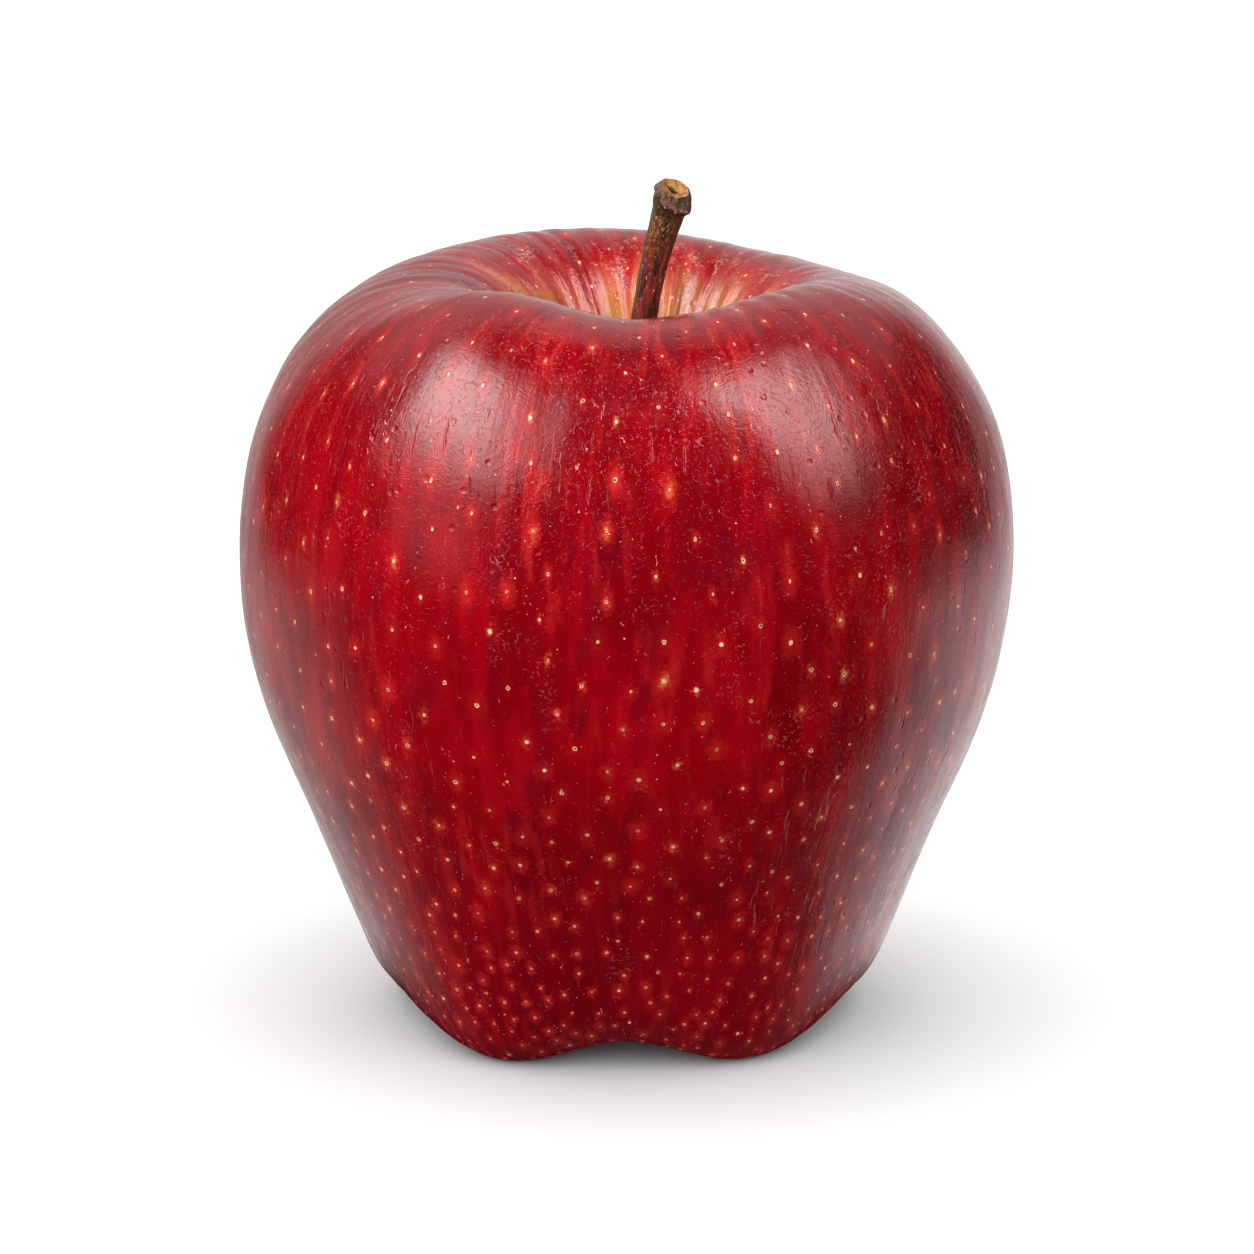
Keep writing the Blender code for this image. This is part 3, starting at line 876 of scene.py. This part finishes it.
studio = {
    "cameraAway": 0.485,
    "cameraHeight": 13.2,    # degrees above the level
    "lens": 135.0,
    "aim": 40.35,            # height of the aim in millimetres
    "floorSide": 6.0,
    "floorColor": (0.80, 0.80, 0.80),
    # turn from the front, height in degrees, distance, width, height, watts
    "keyLeft": (-66.0, 46.5, 0.80, 1.06, 0.92, 31.5),
    "keyRight": (70.0, 43.0, 0.80, 0.62, 1.02, 15.5),
    "lowLeft": (-52.0, 12.0, 0.80, 0.40, 0.30, 0.26),
    "fillFront": (-28.0, 32.0, 1.1, 1.0, 1.0, 18.5),
    "fillRight": (40.0, 50.0, 1.1, 0.8, 0.8, 4.6),
    "fillBack": (180.0, 25.0, 1.1, 1.0, 1.0, 8.5),
    # where a key box starts and stops, shares of its width then of its height
    "keyLeftFade": ((0.13, 0.38), (1.04, 0.62), (0.0, 0.56), (1.05, 0.745)),
    "keyRightFade": ((0.0, 0.30), (0.96, 0.60), (-0.15, 0.75), (1.0, 0.86)),
    "keyLeftLean": 0.35,         # how far the box leans, the lower end to the right
    "keyRightLean": 0.0,
    "domeWatts": 1.76,
    "domeTurn": (18.0, -10.0),
    "ambient": 0.06,
    "tableBounce": 3.2,     # light that the table throws on the sides and the back
    "backdrop": (0.58, 0.95),    # what the skin mirrors behind it, left and right
    "table": (0.56, 1.05),       # and of the table top
    "overhead": 0.75,            # and of the ceiling behind it
    "underside": (24.0, 38.0),   # radius in millimetres of the dark under the fruit
}


def makeCamera():
    away, up = studio["cameraAway"], math.radians(studio["cameraHeight"])
    aim = Vector((0.0, 0.0, studio["aim"] * mm))
    back = Vector((0.0, -math.cos(up), math.sin(up)))
    bpy.ops.object.camera_add(location=aim + back * away)
    camera = bpy.context.active_object
    camera.name = "camera"
    camera.rotation_euler = (-back).to_track_quat("-Z", "Y").to_euler()
    camera.data.lens = studio["lens"]
    camera.data.sensor_width = 36.0
    camera.data.clip_start = 0.01
    camera.data.clip_end = 50.0
    bpy.context.scene.camera = camera


def makeSoftbox(name):
    turn, up, away, width, height, watts = studio[name]
    turn, up = math.radians(turn), math.radians(up)
    toward = Vector((math.sin(turn) * math.cos(up), -math.cos(turn) * math.cos(up), math.sin(up)))
    aim = Vector((0.0, 0.0, studio["aim"] * mm))
    bpy.ops.object.light_add(type="AREA", location=aim + toward * away)
    light = bpy.context.active_object
    light.name = name
    light.rotation_euler = toward.to_track_quat("Z", "Y").to_euler()
    light.data.shape = "RECTANGLE"
    light.data.size = width
    light.data.size_y = height
    light.data.energy = watts
    light.visible_camera = False
    return light


def linkLight(light, floor, state):
    # state EXCLUDE: lights all but the floor, INCLUDE: lights the floor alone
    receivers = bpy.data.collections.new(light.name + "Floor")
    receivers.objects.link(floor)
    receivers.collection_objects[0].light_linking.link_state = state
    light.light_linking.receiver_collection = receivers


def makeKey(name):
    # seen in the gloss only, and graded like a softbox whose lamp is near one edge
    light = makeSoftbox(name)
    light.visible_diffuse = False
    n = Nodes(light.data)
    across, up, _ = n.add("SeparateXYZ", {0: n.add("NewGeometry").outputs["Parametric"]}).outputs
    across = n.calc("MULTIPLY_ADD", n.calc("SUBTRACT", up, 0.6), studio[name + "Lean"], across)
    level = 1.0
    for value, (dark, full) in zip((across, across, up, up), studio[name + "Fade"]):
        level = n.calc("MULTIPLY", level, n.ease(value, dark, full))
    n.feed(n.tree.nodes["Emission"].inputs["Strength"], level)
    return light


def makeFill(name):
    # lights the shape and leaves no highlight
    light = makeSoftbox(name)
    light.visible_glossy = False
    light.data.cycles.use_multiple_importance_sampling = False
    return light


def makeDome():
    # soft light from all over the ceiling, for the floor alone
    bpy.ops.object.light_add(type="SUN", location=(0, 0, 1))
    dome = bpy.context.active_object
    dome.name = "dome"
    lean, aside = studio["domeTurn"]
    dome.rotation_euler = (math.radians(lean), math.radians(aside), 0.0)
    dome.data.energy = studio["domeWatts"] * math.pi
    dome.data.angle = math.radians(145.0)
    return dome


def makeWorld():
    world = bpy.data.worlds.new("studio")
    n = Nodes(world)
    world.cycles.sampling_method = "NONE"    # the nodes below tell rays apart
    bpy.context.scene.world = world
    n.tree.nodes.clear()
    direction = n.add("SeparateXYZ", {0: n.add("TexCoord").outputs["Generated"]}).outputs
    rays = n.add("LightPath").outputs
    # mirrored surroundings: dark in front, a white backdrop and a white table behind
    x, y, z = direction["X"], direction["Y"], direction["Z"]
    backdrop = n.calc("MULTIPLY", n.ease(y, 0.70, 1.0), n.ease(z, -0.25, -0.08))
    backdrop = n.calc("MULTIPLY", backdrop, n.ease(z, 0.85, 0.60))
    backdrop = n.calc("MULTIPLY", backdrop, n.ease(x, -0.15, 0.12, *studio["backdrop"]))
    table = n.calc("MULTIPLY", n.ease(z, -0.08, -0.28), n.ease(z, -1.0, -0.42))
    table = n.calc("MULTIPLY", table, n.ease(y, -0.10, 0.35))
    table = n.calc("MULTIPLY", table, n.ease(x, -0.5, 0.5, *studio["table"]))
    overhead = n.calc("MULTIPLY", n.ease(z, 0.40, 0.62), n.ease(z, 0.98, 0.85))
    overhead = n.calc("MULTIPLY", overhead, n.ease(y, 0.15, 0.50, 0.0, studio["overhead"]))
    cards = n.calc("ADD", n.calc("ADD", backdrop, table), overhead)
    bounce = n.calc("MULTIPLY", n.ease(z, 0.05, -0.35), n.ease(y, 0.0, 0.60, 0.0, studio["tableBounce"]))
    bounce = n.calc("MULTIPLY", bounce, n.ease(x, -0.2, 0.7, 1.0, 2.3))
    bounce = n.calc("MULTIPLY", bounce, n.calc("LESS_THAN", rays["Diffuse Depth"], 1.5))
    level = n.mixValue(rays["Is Glossy Ray"], n.calc("ADD", bounce, studio["ambient"]), cards)
    level = n.mixValue(rays["Is Camera Ray"], level, 1.0)
    background = n.add("Background", {"Color": (1.0, 1.0, 1.0), "Strength": level})
    n.feed(n.add("OutputWorld").inputs["Surface"], background.outputs[0])


def makeUnderside():
    # the contact shadow as the skin mirrors it: a dark disc with a soft edge, seen in the gloss only
    inner, outer = studio["underside"]
    deselectAll()
    bpy.ops.mesh.primitive_circle_add(
        vertices=64, radius=outer * mm, fill_type="NGON", location=(0, 0, -0.0001))
    card = bpy.context.active_object
    card.name = "underside"
    n = Nodes.material("shadowCard")
    radius = n.vector("LENGTH", n.vector("MULTIPLY", n.objectMm(), (1.0, 1.0, 0.0)))
    dark = n.add("BsdfDiffuse", {"Color": (0.0, 0.0, 0.0)}).outputs[0]
    clear = n.add("BsdfTransparent").outputs[0]
    soft = n.add("MixShader", {0: n.ease(radius, inner, outer), 1: dark, 2: clear}).outputs[0]
    n.feed(n.tree.nodes["Material Output"].inputs["Surface"], soft)
    card.data.materials.append(n.owner)
    card.visible_camera = False
    card.visible_diffuse = False
    card.visible_shadow = False


def makeFloor():
    deselectAll()
    bpy.ops.mesh.primitive_plane_add(size=studio["floorSide"], location=(0, 0, -0.0002))
    floor = bpy.context.active_object
    floor.name = "floor"
    n = Nodes.material("paleFloor")
    grain = n.noise(n.objectMm(), 40.0, 2.0)
    tone = n.mix(grain, tuple(c * 0.99 for c in studio["floorColor"]), studio["floorColor"])
    floor.data.materials.append(n.finish(Base_Color=tone, Roughness=0.9, Specular_IOR_Level=0.1))
    floor.visible_glossy = False
    floor.visible_diffuse = False
    makeUnderside()
    return floor


# ---- build ----

makeCamera()

fruit = makeFruit()
scatterPores(fruit)
dress(fruit, skinMaterial(), "fruit")
print("skin done")

dress(makeStem(), stemMaterial(), "stem")
print("stem done")

driedLeaf = calyxMaterial("driedSepal", (0.045, 0.020, 0.010), (0.150, 0.085, 0.040), 1.4)
for number in range(5):
    dress(makeSepal(number), driedLeaf, f"sepal_{number + 1}")
driedThread = calyxMaterial("driedStamen", (0.020, 0.010, 0.006), (0.090, 0.050, 0.024), 0.8)
dress(makeTuft(), driedThread, "stamen_tuft")
print("calyx done")

floor = makeFloor()
for name in ("keyLeft", "keyRight"):
    linkLight(makeKey(name), floor, "EXCLUDE")
lowLeft = makeSoftbox("lowLeft")
lowLeft.visible_diffuse = False
linkLight(lowLeft, floor, "EXCLUDE")
for name in ("fillFront", "fillRight", "fillBack"):
    linkLight(makeFill(name), floor, "EXCLUDE")
linkLight(makeDome(), floor, "INCLUDE")
makeWorld()
bpy.context.scene.view_settings.view_transform = "Standard"
print("stage done")
